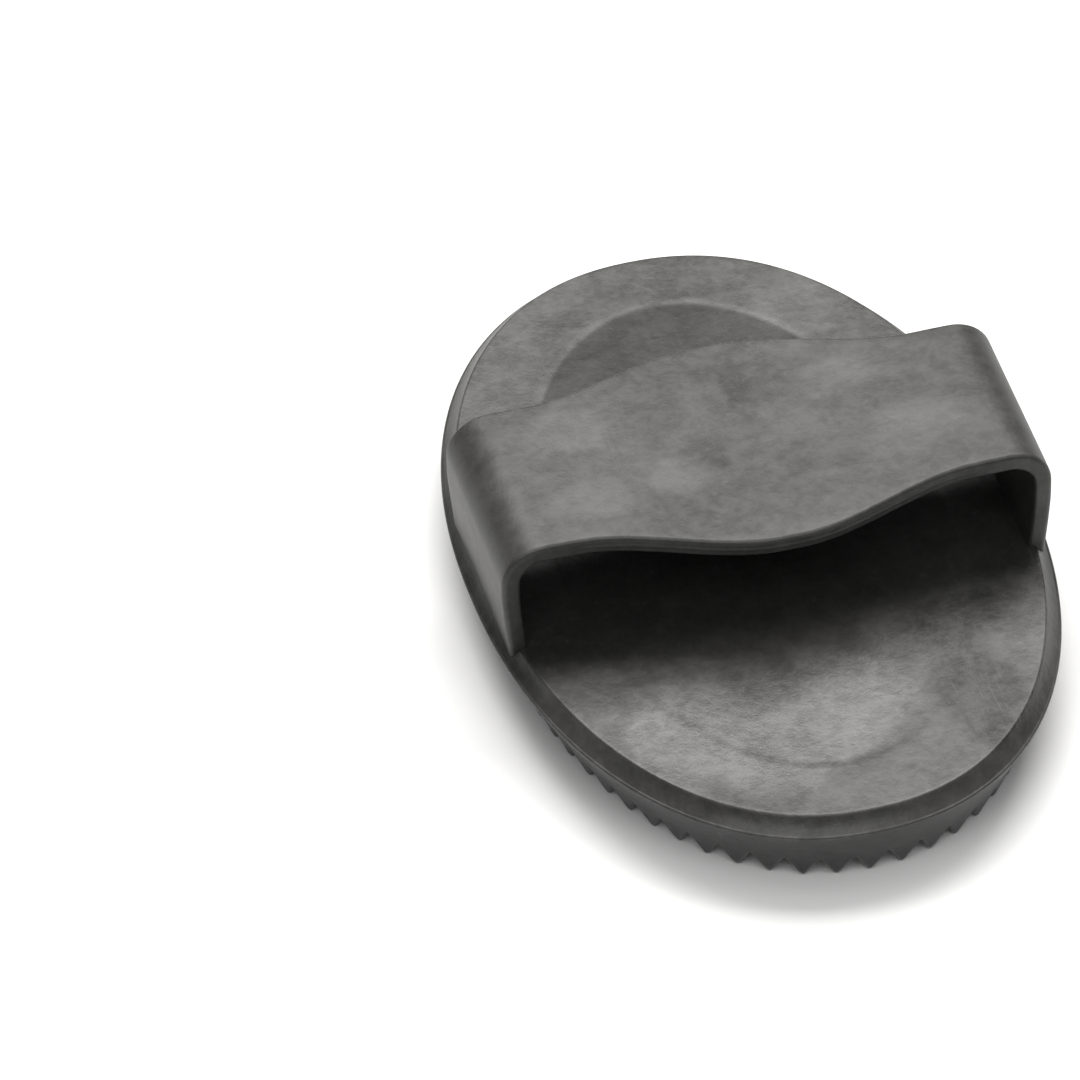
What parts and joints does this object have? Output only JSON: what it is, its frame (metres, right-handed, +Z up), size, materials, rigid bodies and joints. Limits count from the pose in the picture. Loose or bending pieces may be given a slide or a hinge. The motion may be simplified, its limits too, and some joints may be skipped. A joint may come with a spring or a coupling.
{
  "type": "rubber curry comb",
  "caption": "Oval rubber curry comb: flat back with a wide hand strap arched across the short axis, concentric oval walls of V-notched teeth underneath.",
  "frame": {"origin": "centre of the oval, on the plane of the tooth tips", "axes": "+Z up out of the back through the strap, +X along the short axis, which the strap spans, +Y along the long axis"},
  "size_m": [0.106, 0.1648, 0.0393],
  "materials": {
    "pad_rubber": "matte moulded rubber with a pale grey bloom",
    "tooth_rubber": "satin black moulded rubber",
    "strap_rubber": "matte moulded rubber with chalky patches"
  },
  "bodies": {
    "pad": {"back_plate": "pad_rubber", "outer_tooth_ring": "tooth_rubber", "middle_tooth_ring": "tooth_rubber", "inner_tooth_ring": "tooth_rubber", "left_strap_leg": "strap_rubber", "right_strap_leg": "strap_rubber"},
    "strap_top": {"strap_crown": "strap_rubber"}
  },
  "joints": [
    {"name": "strap_flex", "type": "slide", "parent": "pad", "child": "strap_top", "axis": [0, 0, 1], "range_m": [-0.006, 0.005], "stiffness_N_per_m": 400, "deforming": ["left_strap_leg", "right_strap_leg"]}
  ]
}
